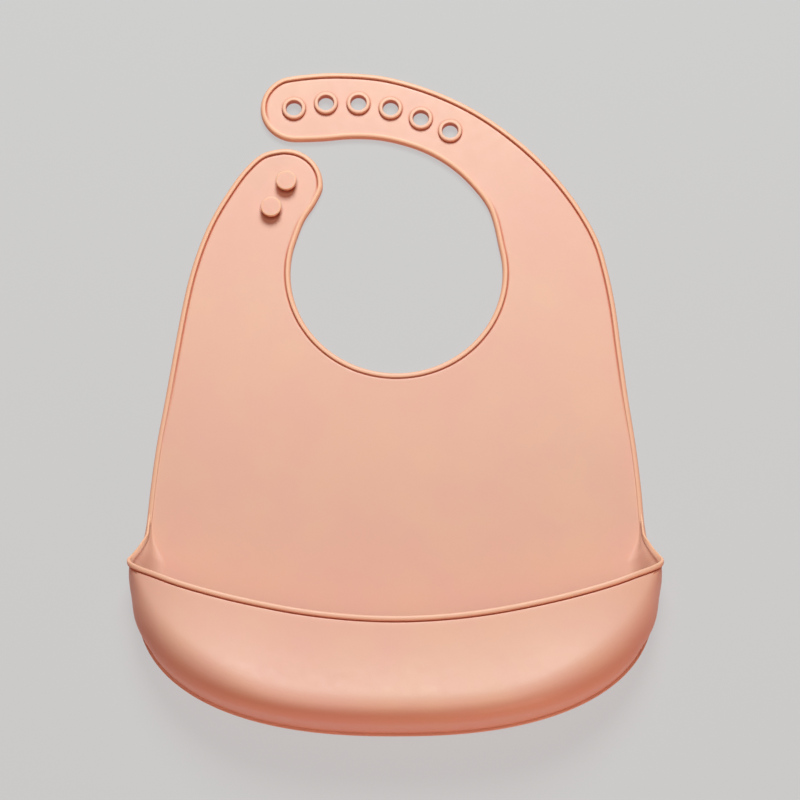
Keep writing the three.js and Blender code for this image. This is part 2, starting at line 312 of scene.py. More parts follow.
def outline():
    """The bib's outer edge, anticlockwise, at even steps."""
    dense = catmull_rom([
        *bottom_edge(), *POCKET_SIDE, *PANEL_SIDE, *HOLE_STRAP_OUTER, *arc(HOLE_STRAP_END, 110, 270),
        *HOLE_STRAP_INNER, *arc(NECK, 14, -200), *STUD_STRAP_INNER, *arc(STUD_STRAP_END, -8, 96),
        *STUD_STRAP_OUTER, *PANEL_LEFT_SIDE, *mirrored(POCKET_SIDE),
    ], True)
    dense = np.vstack([dense, dense[:1]])
    count = round(np.linalg.norm(np.diff(dense, axis=0), axis=1).sum() / EDGE_SPACING)
    return at_shares(dense, np.arange(count) / count)


def inward_normals(loop):
    along = np.roll(loop, -1, axis=0) - np.roll(loop, 1, axis=0)
    return unit(np.stack([-along[:, 1], along[:, 0]], axis=1))


def is_inside(points, loop):
    """Which points lie inside a closed loop, by counting crossings."""
    x, y = points[:, :1], points[:, 1:2]
    x0, y0 = loop.T
    x1, y1 = np.roll(loop, -1, axis=0).T
    spans = (y0 > y) != (y1 > y)
    with np.errstate(divide="ignore", invalid="ignore"):
        crossing = x0 + (y - y0) * (x1 - x0) / (y1 - y0)
    return (np.where(spans, x < crossing, False).sum(axis=1) % 2) == 1


def lie(points):
    """The slow waves of a soft sheet lying on a table, never below it."""
    x, y = points[:, 0], points[:, 1]
    (length_x, phase_x), (length_y, phase_y) = HUMP["x"], HUMP["y"]
    wave = HUMP["share"] * np.sin(x / length_x + phase_x) * np.sin(y / length_y + phase_y)
    for ripple in RIPPLES:
        run = (x + ripple["slant"] * y) / ripple["length"]
        wave += ripple["share"] * np.sin(run + ripple["phase"])
    loose = smooth(*WAVE_FADE_X, np.abs(x)) * smooth(*WAVE_FADE_Y, y)
    return TABLE_GAP + WAVE_HEIGHT * loose * (WAVE_MIDDLE + wave)


# ---------------------------------------------------------------- meshes

class Skin:
    """Vertices and faces gathered from rings, with each vertex's share of painted bead glow and of painted
    crease shade.
    """

    def __init__(self):
        self.points, self.faces = [], []
        self.marks = {"bead": [], "crease_and_painted_shade": []}

    def ring(self, points, bead=0.0, crease_and_painted_shade=0.0):
        first = len(self.points)
        self.points.extend(map(tuple, points))
        for name, share in (("bead", bead), ("crease_and_painted_shade", crease_and_painted_shade)):
            self.marks[name].extend(np.broadcast_to(share, len(points)).tolist())
        return list(range(first, first + len(points)))

    def join(self, low, high, closed=True):
        count = len(low)
        for k in range(count if closed else count - 1):
            m = (k + 1) % count
            self.faces.append((low[k], low[m], high[m], high[k]))

    def loft(self, rings, closed=True):
        for low, high in zip(rings, rings[1:]):
            self.join(low, high, closed)

    def fill(self, loops, height):
        """A flat field of even triangles inside the first loop and outside the others."""
        at = np.array(self.points)
        lines = [at[loop][:, :2] for loop in loops]
        edge = np.vstack(lines)
        low, high = edge.min(0), edge.max(0)
        rows = np.arange(low[1], high[1], GRID_SPACING * ROW_SHARE)
        grid = np.array([
            (x, y) for k, y in enumerate(rows)
            for x in np.arange(low[0] + (k % 2) * GRID_SPACING / 2, high[0], GRID_SPACING)
        ])
        keep = is_inside(grid, lines[0])
        for line in lines[1:]:
            keep &= ~is_inside(grid, line)
        grid = grid[keep]
        apart = np.array([np.square(edge - point).sum(1).min() for point in grid])
        grid = grid[apart > (EDGE_CLEARANCE * GRID_SPACING) ** 2]
        field = self.ring(np.column_stack([grid, np.full(len(grid), height)]))
        index = [k for loop in loops for k in loop] + field
        flat = [Vector(point) for point in np.vstack([edge, grid])]
        bounds, start = [], 0
        for loop in loops:
            bounds += [(start + k, start + (k + 1) % len(loop)) for k in range(len(loop))]
            start += len(loop)
        made = delaunay_2d_cdt(flat, bounds, [], 0, 1e-6)
        places = np.array([tuple(v) for v in made[0]])
        source = [index[olds[0]] for olds in made[3]]
        middles = np.array([places[list(face)].mean(0) for face in made[2]])
        keep = is_inside(middles, lines[0])
        for line in lines[1:]:
            keep &= ~is_inside(middles, line)
        self.faces += [tuple(source[k] for k in face) for face, kept in zip(made[2], keep) if kept]

    def mesh(self, name):
        at = np.array(self.points)
        at[:, 2] = np.maximum(at[:, 2], 0) + lie(at)
        mesh = bpy.data.meshes.new(name)
        mesh.from_pydata((at * MM).tolist(), [], self.faces)
        for mark, shares in self.marks.items():
            attribute = mesh.attributes.new(mark, "FLOAT", "POINT")
            attribute.data.foreach_set("value", np.array(shares, np.float32))
        shape = bmesh.new()
        shape.from_mesh(mesh)
        bmesh.ops.recalc_face_normals(shape, faces=shape.faces)
        for face in shape.faces:
            face.smooth = True
        shape.to_mesh(mesh)
        shape.free()
        return mesh


def keep_normals(mesh):
    """Notes the whole skin's normals, so that the cut pieces can go on using them."""
    at = np.zeros(len(mesh.vertices) * 3, np.float32)
    mesh.vertex_normals.foreach_get("vector", at)
    mesh.attributes.new("whole", "FLOAT_VECTOR", "POINT").data.foreach_set("vector", at)


def use_whole_normals(mesh):
    """Gives a cut piece the whole skin's normals, and its flat caps their own."""
    whole = np.zeros(len(mesh.vertices) * 3, np.float32)
    mesh.attributes["whole"].data.foreach_get("vector", whole)
    whole = unit(whole.reshape(-1, 3).astype(float) + 1e-12)
    corners = np.zeros((len(mesh.loops), 3))
    for face in mesh.polygons:
        for corner, vertex in zip(face.loop_indices, face.vertices):
            corners[corner] = whole[vertex] if face.use_smooth else face.normal
    mesh.attributes.remove(mesh.attributes["whole"])
    mesh.normals_split_custom_set(corners.tolist())


def bisect(shape, place, toward, is_near):
    """Cuts the faces near a seam along its upright plane."""
    faces = [f for f in shape.faces if is_near(f.calc_center_median() / MM)]
    around = {e for f in faces for e in f.edges} | {v for f in faces for v in f.verts}
    bmesh.ops.bisect_plane(
        shape,
        geom=[*faces, *around],
        plane_co=Vector((*place, 0)) * MM,
        plane_no=Vector((*toward, 0)),
        dist=1e-7,
    )


def split(shape, name_of, names):
    """One closed object for each name, from the faces that name_of gives it."""
    label = shape.faces.layers.int.new("piece")
    for face in shape.faces:
        face[label] = names.index(name_of(face.calc_center_median() / MM))
    pieces = {}
    for number, name in enumerate(names):
        part = shape.copy()
        label = part.faces.layers.int["piece"]
        bmesh.ops.delete(part, geom=[f for f in part.faces if f[label] != number], context="FACES")
        rim = [e for e in part.edges if e.is_boundary]
        for cap in bmesh.ops.holes_fill(part, edges=rim, sides=0)["faces"]:
            cap.smooth = False
        bmesh.ops.recalc_face_normals(part, faces=part.faces)
        part.faces.layers.int.remove(part.faces.layers.int["piece"])
        mesh = bpy.data.meshes.new(name)
        part.to_mesh(mesh)
        part.free()
        use_whole_normals(mesh)
        pieces[name] = put_object(name, mesh)
    return pieces


def put_object(name, mesh):
    piece = bpy.data.objects.new(name, mesh)
    bpy.context.scene.collection.objects.link(piece)
    return piece


def turned_rings(skin, place, profile):
    """Rings round an upright axis, from (radius, height, share of painted bead glow, share of painted
    crease shade) points.
    """
    angles = np.arange(ROUND_SEGMENTS) * 2 * math.pi / ROUND_SEGMENTS
    circle = np.stack([np.cos(angles), np.sin(angles)], axis=1)
    rings = []
    for radius, height, bead, crease_and_painted_shade in profile:
        flat = np.array(place) + radius * circle
        rings.append(skin.ring(np.column_stack([flat, np.full(ROUND_SEGMENTS, height)]), bead, crease_and_painted_shade))
    skin.loft(rings)
    return rings


# ---------------------------------------------------------------- sheet with its edge bead

def quarter(radius, degrees):
    """How far a rounded edge lies inside its side and under its top, this far round from its side."""
    angle = math.radians(degrees)
    return radius * (1 - math.cos(angle)), radius * (1 - math.sin(angle))


def edge_profile():
    """(inset, height as a flange, height as a bead, share of crease and its painted shade) from the back
    to the front.
    """
    rows = list(BACK_EDGE)
    low = BEAD_TOP - BEAD_SHOULDER
    for degrees in range(0, 91, ROUND_STEP):
        angle = math.radians(degrees)
        inset = BEAD_ROUND * (1 - math.cos(angle))
        flange = SHEET - EDGE_ROUND * (1 - min(1, inset / EDGE_ROUND)) ** 2
        rows.append((inset, flange, low + (BEAD_TOP - low) * math.sin(angle), 0))
    rows += [(BEAD_WIDTH - back, SHEET, BEAD_TOP - drop, 0) for back, drop in BEAD_INSIDE]
    rows += [(BEAD_WIDTH + beyond, SHEET, SHEET, crease_and_painted_shade) for beyond, crease_and_painted_shade in BEAD_CREASE]
    return rows


def bead_share(points):
    """How far the edge stands up as a bead: not at all under the pocket, low down the panel's sides."""
    y = points[:, 1]
    return smooth(*BEAD_RISE_Y, y) * (LOW_BEAD + (1 - LOW_BEAD) * smooth(*BEAD_GROWTH_Y, y))


def crease_share(points, inward):
    """How sharp the bead's foot is and how much painted shade it gets: most at the top of the bib, least
    under the straps.
    """
    return smooth(*CREASE_TURN, inward[:, 1]) * smooth(*CREASE_Y, points[:, 1])


def eyelet_profile():
    """(radius, height, painted bead glow, painted crease shade) from the sheet over the low ring and down
    the flared bore.
    """
    ring, top = EYELET_RADIUS, EYELET_TOP
    outer, inner = EYELET_ROUND
    mouth = BORE_RADIUS + BORE_FLARE
    rows = [(ring + beyond, SHEET + up, bead, crease_and_painted_shade) for beyond, up, bead, crease_and_painted_shade in EYELET_SKIRT]
    rows.append((ring, top - outer, RING_PAINTED_GLOW["side"], 0))
    for degrees in range(ROUND_STEP, 91, ROUND_STEP):
        inset, drop = quarter(outer, degrees)
        rows.append((ring - inset, top - drop, RING_PAINTED_GLOW["top"], 0))
    for degrees in range(90, -1, -ROUND_STEP):
        inset, drop = quarter(inner, degrees)
        rows.append((mouth + inset, top - drop, RING_PAINTED_GLOW["mouth"], 0))
    for (inset, bead, crease_and_painted_shade), height in zip(THROAT, (top - outer, SHEET)):
        rows.append((mouth - inset, height, bead, crease_and_painted_shade))
    return rows + [(BORE_RADIUS + beyond, up, bead, crease_and_painted_shade) for beyond, up, bead, crease_and_painted_shade in BORE_FOOT]


def make_sheet():
    edge = outline()
    inward = inward_normals(edge)
    lift = bead_share(edge)
    crease = crease_share(edge, inward) * lift
    skin = Skin()
    rings = []
    for inset, flange, bead, crease_and_painted_shade in edge_profile():
        height = flange + (bead - flange) * lift - CREASE_DEPTH * crease_and_painted_shade * crease
        points = np.column_stack([edge + inward * inset, height])
        # The raised bead gets painted glow, and the crease at its foot gets painted shade.
        rings.append(skin.ring(points, float(bead > SHEET) * lift, crease_and_painted_shade * crease))
    skin.loft(rings)
    fronts, backs = [rings[-1]], [rings[0]]
    for place in EYELETS:
        around = turned_rings(skin, place, eyelet_profile())
        fronts.append(around[0])
        backs.append(around[-1])
    skin.fill(fronts, SHEET)
    skin.fill(backs, 0)
    return skin.mesh("sheet")


# Bends: the body on each side, a point on the hinge line, the way the moving side lies, and where the
# bend starts and ends along that way.
BENDS = {
    "panel": ("base", "upper", (0, -34), (0, 1), -2, 36),
    "hole_strap_root": ("upper", "hole_strap_root", (64, 87.7), (-0.254, 0.967), -2, 22),
    "hole_strap_first": ("hole_strap_root", "hole_strap_first", (33, 121.8), (-0.88, 0.475), -5, 6),
    "hole_strap_second": (
        "hole_strap_first", "hole_strap_second", (4.65, 135.2), (-0.938, 0.346), -5.5, 5.5,
    ),
    "hole_strap_end": ("hole_strap_second", "hole_strap_end", (-25, 140.3), (-1, 0), -5.5, 5.5),
    "stud_strap_root": ("upper", "stud_strap_root", (-71, 58), (0.31, 0.951), -2, 13),
    "stud_strap_end": ("stud_strap_root", "stud_strap_end", (-62, 79.7), (0.447, 0.894), -6, 6),
}
# Seams: a point, the way the piece beyond lies, and how far across the seam reaches.
SEAMS = {
    "hole_strap_end": ((-9.9, 139.05), (-0.985, 0.17), 24),
    "hole_strap_second": ((18.5, 129.45), (-0.91, 0.42), 24),
    "hole_strap_first": ((40.9, 117.5), (-0.88, 0.475), 28),
    "hole_strap_root": ((65, 83.8), (-0.254, 0.967), 40),
    "stud_strap_end": ((-65.35, 73), (0.447, 0.894), 28),
    "stud_strap_root": ((-72.2, 54.2), (0.31, 0.951), 30),
}
# The stud strap lies left of and below the first two of these, the hole strap's lengths above the third.
STUD_SIDE_X = -20
STRAP_GAP_Y = 120
HOLE_STRAP_LOW_Y = NECK["y"] + 40
STANDS_FOR = {
    "panel": ["lower_panel", "upper_panel"],
    "hole_strap_root": ["hole_strap_shoulder"],
    "hole_strap_first": ["hole_strap_inner", "eyelet_6"],
    "hole_strap_second": ["hole_strap_middle", "eyelet_5", "eyelet_4"],
    "hole_strap_end": ["hole_strap_tip", "eyelet_3", "eyelet_2", "eyelet_1"],
    "stud_strap_root": ["stud_strap_shoulder"],
    "stud_strap_end": ["stud_strap_tip"],
}


def seam_place(point, seam):
    """How far a point lies beyond a seam, and how far along it."""
    (x, y), (tx, ty), _ = SEAMS[seam]
    dx, dy = point[0] - x, point[1] - y
    return dx * tx + dy * ty, dx * ty - dy * tx


def on_side_of(point, seam):
    is_stud_side = point[0] < STUD_SIDE_X and point[1] < STRAP_GAP_Y
    return is_stud_side == seam.startswith("stud")


def sheet_piece(point):
    """The piece of the sheet that a point belongs to, tried from the strap ends inward."""
    for seam in SEAMS:
        beyond, _ = seam_place(point, seam)
        reaches_down = seam in ("hole_strap_root", "stud_strap_root", "stud_strap_end")
        is_strap = reaches_down or point[1] > HOLE_STRAP_LOW_Y
        if beyond > 0 and is_strap and on_side_of(point, seam):
            return seam
    return "panel"


def cut_sheet(mesh):
    shape = bmesh.new()
    shape.from_mesh(mesh)
    for seam, (place, toward, reach) in SEAMS.items():
        def is_near(point, seam=seam, reach=reach):
            beyond, across = seam_place(point, seam)
            return abs(beyond) < SEAM_REACH and abs(across) < reach and on_side_of(point, seam)

        bisect(shape, place, toward, is_near)
    pieces = split(shape, sheet_piece, list(BENDS))
    shape.free()
    return pieces


# ---------------------------------------------------------------- pocket

def pocket_lines():
    """The foot, the rim and the outward way of each rib, from the left wing to the right."""
    shares = np.linspace(0, 1, RIB_COUNT)
    side = [*POCKET_SIDE, WING_START]
    foot_line = catmull_rom([*mirrored(side), *bottom_edge(), *side], False)
    left_rim = [(-x, y, z) for x, y, z in RIM_HALF]
    rim_line = catmull_rom([*left_rim, RIM_MIDDLE, *reversed(RIM_HALF)], False)
    foot = at_shares(foot_line, shares)
    rim = at_shares(rim_line, shares)
    along = unit(np.gradient(foot, axis=0))
    outward = np.column_stack([along[:, 1], -along[:, 0], np.zeros(RIB_COUNT)])
    foot_height = np.minimum(SHEET, rim[:, 2] - LEAST_WALL)
    foot = np.column_stack([foot, foot_height]) - outward * FLANGE
    return foot, rim, outward


def rib_line(foot, rim, outward, share):
    """Up the outside of the pocket: upright, round over a shoulder, then gently down to the rim.

    Where the rim lies outside its foot, as at the wings, the wall is straight.
    """
    along = min(share, 1 - share)
    rounding = SIDE_ROUNDING + (BOTTOM_ROUNDING - SIDE_ROUNDING) * smooth(*ROUNDING_CHANGE, along)
    run = max(math.hypot(*(rim - foot)[:2]), 1e-3)
    rise = FRONT_RISE * smooth(*RISE_CHANGE, along)
    top = rim[2] - foot[2] + rise
    round_share = min(SHOULDER_RUN, rounding / run)
    upright = max(0, top - rounding)
    bulge = POCKET_BULGE * top * max(0, 1 - run / (2 * SIDE_ROUNDING))
    angles = np.radians(np.linspace(0, 90, SHOULDER_STEPS))[:, None]
    line = foot + (rim - foot) * round_share * (1 - np.cos(angles))
    line[:, 2] = foot[2] + upright + (top - upright) * np.sin(angles[:, 0])
    below = foot + np.array([0, 0, upright]) * np.linspace(0, 1, UPRIGHT_STEPS)[:-1, None]
    line = np.vstack([below, line])
    swell = (line[:, 2:] - foot[2]) / max(top, 1e-3)
    lean = -(rim - foot) @ outward
    straight = foot + (rim - foot) * swell
    line = straight + (line - straight) * smooth(*STRAIGHT_TO_ROUND, lean)
    line += outward * bulge * np.sin(math.pi * swell**0.8) * smooth(*PLAIN_TO_BULGED, lean)
    t = np.linspace(0, 1, FRONT_STEPS)[1:, None]
    front = line[-1] + (rim - line[-1]) * t - np.array([0, 0, FRONT_SAG * rise]) * t * (1 - t)
    return np.vstack([line, front])


def soften(rows, passes):
    """Averages each row with its neighbours, leaving the first and last as they are."""
    for _ in range(passes):
        rows[1:-1] = (rows[:-2] + 2 * rows[1:-1] + rows[2:]) / 4
    return rows


def squared_off(value):
    return math.copysign(abs(value) ** BEAD_SQUARENESS, value)


def lip_section(place, is_lip):
    """The crease and the bead of a rim, from the outside wall over the top to the inside, with painted
    shade in the crease.
    """
    points = [place(across, up * is_lip) for across, up, _ in LIP_CREASE]
    crease_and_painted_shade = [share * is_lip for *_, share in LIP_CREASE]
    for degrees in range(0, 271, LIP_STEP):
        angle = math.radians(degrees)
        points.append(place(squared_off(math.cos(angle)), squared_off(math.sin(angle))))
        crease_and_painted_shade.append(LIP_EDGE_PAINTED_SHADE * is_lip if degrees == 0 else 0)
    return points, crease_and_painted_shade


def bezier(first, second, third, last, t):
    return (
        (1 - t) ** 3 * first + 3 * t * (1 - t) ** 2 * second + 3 * t**2 * (1 - t) * third + t**3 * last
    )


def inner_line(wall, foot, inward, is_front):
    """Down the inside of the pocket's wall and round its concave foot, to just below the sheet.

    At the wings, where is_front is 0, the foot is a slope that starts just under the rim.
    """
    height = wall[:, 2] - foot[2]
    full = max(height[0], LEAST_INSIDE)
    rise, reach = np.array(WING_FILLET) + (np.array(INNER_FILLET) - WING_FILLET) * is_front
    up = min(rise, (FILLET_TOP[0] + (FILLET_TOP[1] - FILLET_TOP[0]) * is_front) * full)
    stop = int(np.argmax(height < up)) if (height < up).any() else len(wall) - 2
    run = at_shares(wall[: max(stop, 2) + 1], np.linspace(0, 1, INNER_STEPS))
    corner = wall[-1].copy()
    landing = corner + inward * min(reach, FILLET_SPREAD * full)
    landing[2] = corner[2] = foot[2] + FILLET_END
    top = run[-1]
    steep = top + (corner - top) * 2 / 3 * is_front + (landing - top) / 3 * (1 - is_front)
    eased = landing + (corner - landing) * 2 / 3
    curve = bezier(top, steep, eased, landing, np.linspace(0, 1, FILLET_STEPS)[1:, None])
    sinking = [landing + inward * beyond for beyond, _ in SINKING]
    for point, (_, up) in zip(sinking, SINKING):
        point[2] = foot[2] + up
    return np.vstack([run, curve, *sinking])


def pocket_sections():
    """One closed section for each rib: outside, crease, lip bead, inside, fillet and buried foot."""
    foot, rim, outward = pocket_lines()
    is_lip = smooth(*WING_TO_LIP, rim[:, 2])[:, None]
    is_front = smooth(*SLOPE_END, rim[:, 2])
    size = np.array(WING_BEAD) + (np.array(LIP_BEAD) - WING_BEAD) * is_lip
    wall = WING_WALL + (POCKET_WALL - WING_WALL) * is_lip
    levels = np.linspace(0, 1, WALL_STEPS)
    outside = []
    for k in range(RIB_COUNT):
        line = rib_line(foot[k], rim[k], outward[k], k / (RIB_COUNT - 1))
        length = np.linalg.norm(np.diff(line, axis=0), axis=1).sum()
        end = 1 - min(BEAD_SPAN * size[k, 0], 0.5 * length) / length
        outside.append(at_shares(line, levels * end))
    outside = soften(np.array(outside).swapaxes(0, 1), passes=4).swapaxes(0, 1)
    along = np.gradient(outside, axis=0)
    up = np.gradient(outside, axis=1)
    normal = unit(soften(unit(np.cross(along, up)), passes=6))
    normal[:, 0, 2] = 0
    inside = soften(outside - unit(normal) * wall[:, None], passes=4)

    path = unit(soften(np.gradient(rim, axis=0), passes=3))
    away = outside[:, -1] - rim
    away = unit(soften(unit(away - (away * path).sum(1, keepdims=True) * path), passes=8))
    over = np.cross(path, away)
    over *= np.sign((over * normal[:, -1]).sum(1, keepdims=True))

    sections, marks = [], []
    for k in range(RIB_COUNT):
        def place(a, b, k=k):
            return rim[k] + away[k] * a * size[k, 0] + over[k] * b * size[k, 1]

        bead, crease_and_painted_shade = lip_section(place, is_lip[k, 0])
        inner = inner_line(inside[k, ::-1], foot[k], -outward[k], is_front[k])
        heel = foot[k] + (0, 0, -BURIED)
        sections.append(np.vstack([heel, outside[k], bead, inner]))
        # Painted glow on the lip bead and painted shade in the crease under it.
        creased = len(LIP_CREASE)
        lip_painted_glow = [0] * creased + [1 - LIP_PAINTED_GLOW_LOSS * is_lip[k, 0]] * (len(bead) - creased)
        before, after = [0] * (1 + WALL_STEPS), [0] * len(inner)
        marks.append(([*before, *lip_painted_glow, *after], [*before, *crease_and_painted_shade, *after]))
    return sections, marks


def make_pocket():
    skin = Skin()
    sections, marks = pocket_sections()
    rings = [skin.ring(section, bead, crease_and_painted_shade) for section, (bead, crease_and_painted_shade) in zip(sections, marks)]
    skin.loft(rings)
    skin.faces += [tuple(rings[0]), tuple(reversed(rings[-1]))]
    return skin.mesh("pocket")


# The front's range along Y over its shoulder, and along X towards each corner. The pieces meet on
# the mitre planes where the shares of both ranges are the same.
GIVE_Y = (-139, -117)
GIVE_X = (90, 40)
POCKET_PIECES = {
    "pocket_front_skin": ["pocket_front", "pocket_floor", "pocket_lip"],
    "pocket_left_skin": ["pocket_left_wall", "left_wing_rim"],
    "pocket_right_skin": ["pocket_right_wall", "right_wing_rim"],
}


def pocket_piece(point):
    give_y = (point[1] - GIVE_Y[0]) / (GIVE_Y[1] - GIVE_Y[0])
    give_x = (abs(point[0]) - GIVE_X[0]) / (GIVE_X[1] - GIVE_X[0])
    if give_y < give_x:
        return "pocket_front_skin"
    return "pocket_left_skin" if point[0] < 0 else "pocket_right_skin"


def cut_pocket(mesh):
    shape = bmesh.new()
    shape.from_mesh(mesh)
    for side in (-1, 1):
        toward = Vector((side / (GIVE_X[0] - GIVE_X[1]), 1 / (GIVE_Y[1] - GIVE_Y[0]))).normalized()

        def is_near(point, side=side):
            return point[0] * side > -2

        bisect(shape, (side * GIVE_X[0], GIVE_Y[0]), toward, is_near)
    pieces = split(shape, pocket_piece, list(POCKET_PIECES))
    shape.free()
    return pieces


# ---------------------------------------------------------------- studs

def stud_profile():
    """(radius, height, painted bead glow, painted shade) of an eased round head on a stem that flares into
    the strap.
    """
    stem, head, ease = STEM_RADIUS, HEAD_RADIUS, HEAD_ROUND
    rows = [(head + beyond, SHEET + up, bead, crease_and_painted_shade) for beyond, up, bead, crease_and_painted_shade in STUD_SKIRT]
    rows += [(stem + beyond, SHEET + up, bead, crease_and_painted_shade) for beyond, up, bead, crease_and_painted_shade in STEM_FLARE]
    rows += [(stem + beyond, HEAD_BOTTOM + up, bead, crease_and_painted_shade) for beyond, up, bead, crease_and_painted_shade in STEM_TOP]
    rows.append((head - ease, HEAD_BOTTOM, 0, UNDERSIDE_PAINTED_SHADE))
    # The eased rim of the head gets full painted glow.
    for degrees in range(ROUND_STEP - 90, 91, ROUND_STEP):
        angle = math.radians(degrees)
        corner = HEAD_TOP - ease if degrees > 0 else HEAD_BOTTOM + ease
        rows.append((head - ease * (1 - math.cos(angle)), corner + ease * math.sin(angle), 1, 0))
    return rows + [(head - inset, HEAD_TOP, bead, 0) for inset, bead in HEAD_FLAT]


def make_stud(name, place):
    skin = Skin()
    rings = turned_rings(skin, place, stud_profile())
    for height, ring in ((SHEET - STUD_ROOT, rings[0]), (HEAD_TOP, rings[-1])):
        tip = skin.ring([(*place, height)])[0]
        skin.faces += [(ring[k], ring[(k + 1) % ROUND_SEGMENTS], tip) for k in range(ROUND_SEGMENTS)]
    title = f"{name}_stud_skin"
    stud = put_object(title, skin.mesh(title))
    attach(stud, "stud_strap_end")
    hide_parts(f"{name}_stud")
    return stud


# ---------------------------------------------------------------- materials

def add_node(tree, kind, **values):
    node = tree.nodes.new(kind)
    for key, value in values.items():
        if key in node.inputs:
            node.inputs[key].default_value = value
        else:
            setattr(node, key, value)
    return node


def noise(tree, scale, detail=3.0, roughness=0.5):
    """Noise of that many cells to a metre, in the frame's own space."""
    coordinates = add_node(tree, "ShaderNodeTexCoord")
    node = add_node(tree, "ShaderNodeTexNoise", Scale=scale, Detail=detail, Roughness=roughness)
    tree.links.new(coordinates.outputs["Object"], node.inputs["Vector"])
    return node.outputs["Fac"]


def mix_colours(tree, share, first, second):
    node = add_node(tree, "ShaderNodeMix", data_type="RGBA")
    factor_socket, first_socket, second_socket, result_socket = 0, 6, 7, 2
    for socket, value in ((factor_socket, share), (first_socket, first), (second_socket, second)):
        if isinstance(value, bpy.types.NodeSocket):
            tree.links.new(value, node.inputs[socket])
        else:
            node.inputs[socket].default_value = value
    return node.outputs[result_socket]


def ramp(tree, value, low, high, to_low=0.0, to_high=1.0):
    node = add_node(tree, "ShaderNodeMapRange")
    for socket, number in ((1, low), (2, high), (3, to_low), (4, to_high)):
        node.inputs[socket].default_value = number
    tree.links.new(value, node.inputs[0])
    return node.outputs[0]


PEACH = (0.765, 0.428, 0.325, 1)
WARM_PEACH = (0.775, 0.455, 0.325, 1)
ROSY_PEACH = (0.765, 0.415, 0.338, 1)
# Painted glow of light through thin edges, and painted shade in creases.
PAINTED_GLOW_PEACH = (0.845, 0.480, 0.305, 1)
PAINTED_SHADE_RED = (0.520, 0.120, 0.060, 1)
PAINTED_GLOW_TINT = 0.85
ROSY_TINT = 0.55
STUD_GLOW = 0.35
GLOW_DEPTH = 0.003
SWELL_HEIGHT = 0.00012
GRAIN_HEIGHT = 0.00003


def silicone_colour(tree):
    """Slow drifts of tone, then painted glow on thin edges and painted dark red shade in creases."""
    drift = ramp(tree, noise(tree, scale=17, detail=2), low=0.35, high=0.65)
    blotch = ramp(tree, noise(tree, scale=55, detail=3), low=0.4, high=0.7, to_high=ROSY_TINT)
    colour = mix_colours(tree, drift, PEACH, WARM_PEACH)
    colour = mix_colours(tree, blotch, colour, ROSY_PEACH)
    # Painted glow where light would shine through the thin beads and rims.
    bead = add_node(tree, "ShaderNodeAttribute", attribute_name="bead")
    painted_glow_share = ramp(tree, bead.outputs["Fac"], low=0, high=1, to_high=PAINTED_GLOW_TINT)
    colour = mix_colours(tree, painted_glow_share, colour, PAINTED_GLOW_PEACH)
    # Painted shade in creases and round the stud stems, mixed in as a dark red.
    crease_and_painted_shade = add_node(tree, "ShaderNodeAttribute", attribute_name="crease_and_painted_shade")
    return mix_colours(tree, crease_and_painted_shade.outputs["Fac"], colour, PAINTED_SHADE_RED)


def silicone_relief(tree):
    """Faint moulded swells under a fine powdery grain."""
    swell = add_node(tree, "ShaderNodeBump", Strength=0.5, Distance=SWELL_HEIGHT)
    tree.links.new(noise(tree, scale=160, detail=2), swell.inputs["Height"])
    grain = add_node(tree, "ShaderNodeBump", Strength=0.35, Distance=GRAIN_HEIGHT)
    tree.links.new(noise(tree, scale=2600, detail=2, roughness=0.7), grain.inputs["Height"])
    tree.links.new(swell.outputs["Normal"], grain.inputs["Normal"])
    return grain.outputs["Normal"]


def silicone(name, glow):
    """Matt moulded silicone. Glow is how much light passes through a thick piece and out again."""
    material = bpy.data.materials.new(name)
    material.use_nodes = True
    tree = material.node_tree
    shader = tree.nodes["Principled BSDF"]
    powder = ramp(tree, noise(tree, scale=240, detail=4), low=0.3, high=0.7, to_low=0.41, to_high=0.50)
    tree.links.new(silicone_colour(tree), shader.inputs["Base Color"])
    tree.links.new(powder, shader.inputs["Roughness"])
    tree.links.new(silicone_relief(tree), shader.inputs["Normal"])
    shader.inputs["Specular IOR Level"].default_value = 0.5
    shader.inputs["Subsurface Weight"].default_value = glow
    shader.inputs["Subsurface Radius"].default_value = (1, 0.4, 0.2)
    shader.inputs["Subsurface Scale"].default_value = GLOW_DEPTH
    shader.inputs["Sheen Weight"].default_value = 0.12
    shader.inputs["Sheen Roughness"].default_value = 0.4
    return material


FLOOR_GREY = (0.110, 0.110, 0.110, 1)
FLOOR_PALE_GREY = (0.114, 0.114, 0.114, 1)
FLOOR_GLOW = 0.49


def floor_paint():
    material = bpy.data.materials.new("pale_floor")
    material.use_nodes = True
    tree = material.node_tree
    shader = tree.nodes["Principled BSDF"]
    drift = ramp(tree, noise(tree, scale=3, detail=2), low=0.3, high=0.7)
    colour = mix_colours(tree, drift, FLOOR_GREY, FLOOR_PALE_GREY)
    tree.links.new(colour, shader.inputs["Base Color"])
    shader.inputs["Roughness"].default_value = 0.9
    shader.inputs["Specular IOR Level"].default_value = 0.1
    shader.inputs["Emission Color"].default_value = (1, 1, 1, 1)
    shader.inputs["Emission Strength"].default_value = FLOOR_GLOW
    return material


# ---------------------------------------------------------------- studio

CAMERA_TARGET = (2.0, -4.3, 2.0)
CAMERA_DISTANCE = 1100
CAMERA_TILT = 17
CAMERA_LENS = 110


def make_camera():
    data = bpy.data.cameras.new("camera")
    data.lens = CAMERA_LENS
    data.sensor_width = 36
    data.clip_start = 0.01
    camera = bpy.data.objects.new("camera", data)
    bpy.context.scene.collection.objects.link(camera)
    tilt = math.radians(CAMERA_TILT)
    back = Vector((0, -math.sin(tilt), math.cos(tilt)))
    camera.location = (Vector(CAMERA_TARGET) + back * CAMERA_DISTANCE) * MM
    camera.rotation_euler = (tilt, 0, 0)
    bpy.context.scene.camera = camera


